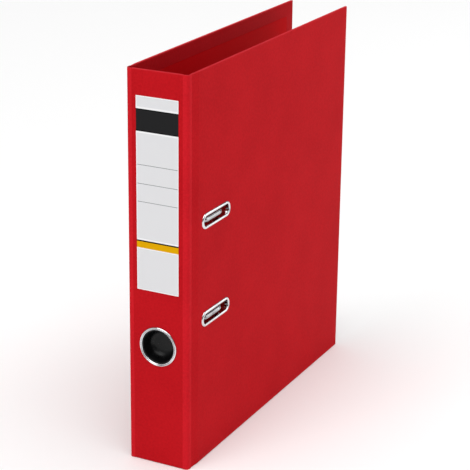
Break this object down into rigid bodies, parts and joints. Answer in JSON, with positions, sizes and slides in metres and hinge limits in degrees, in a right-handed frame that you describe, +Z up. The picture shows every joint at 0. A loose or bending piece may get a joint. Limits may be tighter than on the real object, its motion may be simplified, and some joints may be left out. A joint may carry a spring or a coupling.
{
  "type": "lever arch file",
  "caption": "Upright lever arch file with board covers in plastic film, a finger ring and label on the spine, slotted front cover and a riveted lever mechanism inside.",
  "frame": {"origin": "on the standing surface, under the middle of the closed file", "axes": "+Z up along the spine's height, -Y out of the spine, +Y towards the open fore edge, +X out of the slotted front cover, -X out of the rear cover that carries the mechanism"},
  "size_m": [0.0556, 0.286, 0.318],
  "materials": {
    "red_film": "polypropylene film with a fine satin grain",
    "red_lining": "smooth matt lining film",
    "greyboard": "plain pressed board",
    "label_paper": "smooth white self-adhesive paper",
    "chrome_steel": "bright chromium plate",
    "nickel_steel": "satin nickel plate",
    "black_plastic": "glossy moulded plastic"
  },
  "bodies": {
    "rear_cover": {"rear_board": "greyboard", "rear_cover_film": "red_film", "rear_lining": "red_lining", "base_plate": "nickel_steel", "upper_post": "chrome_steel", "lower_post": "chrome_steel", "spine_side_pivot": "nickel_steel", "post_side_pivot": "nickel_steel", "arch_spring": "nickel_steel", "upper_spine_rivet": "nickel_steel", "upper_fore_rivet": "nickel_steel", "lower_spine_rivet": "nickel_steel", "lower_fore_rivet": "nickel_steel"},
    "spine": {"spine_board": "greyboard", "spine_film": "red_film", "spine_lining": "red_lining", "spine_label": "label_paper", "finger_ring": "chrome_steel", "finger_cup": "black_plastic", "rear_hinge_film": "red_film", "front_hinge_film": "red_film"},
    "front_cover": {"front_board": "greyboard", "front_cover_film": "red_film", "front_lining": "red_lining", "upper_slot_eyelet": "chrome_steel", "lower_slot_eyelet": "chrome_steel"},
    "arches": {"arch_bow": "chrome_steel"},
    "lever_arm": {"lever": "nickel_steel", "lever_grip": "black_plastic", "roller_pin": "nickel_steel"},
    "roller": {"lever_roller": "nickel_steel"},
    "compressor": {"compressor_bar": "nickel_steel"}
  },
  "joints": [
    {"name": "spine_hinge", "type": "hinge", "parent": "rear_cover", "child": "spine", "pos_m": [-0.02566, -0.14116, 0], "axis": [0, 0, -1], "range_deg": [0, 90], "deforming": ["rear_hinge_film"]},
    {"name": "front_cover_hinge", "type": "hinge", "parent": "spine", "child": "front_cover", "pos_m": [0.02566, -0.14116, 0], "axis": [0, 0, -1], "range_deg": [0, 180], "deforming": ["front_hinge_film"]},
    {"name": "lever_pivot", "type": "hinge", "parent": "rear_cover", "child": "lever_arm", "pos_m": [-0.0115, -0.11796, 0.177], "axis": [0, -1, 0], "range_deg": [0, 90]},
    {"name": "arch_pivot", "type": "hinge", "parent": "rear_cover", "child": "arches", "pos_m": [-0.0168, -0.1295, 0.159], "axis": [0, 0, -1], "range_deg": [0, 45]},
    {"name": "roller_spin", "type": "hinge", "parent": "lever_arm", "child": "roller", "pos_m": [-0.01609, -0.11796, 0.1724], "axis": [0, 1, 0], "continuous": true},
    {"name": "compressor_slide", "type": "slide", "parent": "rear_cover", "child": "compressor", "axis": [1, 0, 0], "range_m": [0, 0.03]}
  ],
  "couplings": [
    {"joint": "lever_pivot", "follows": "spine_hinge", "ratio": 1},
    {"joint": "arch_pivot", "follows": "spine_hinge", "ratio": 0.5}
  ]
}
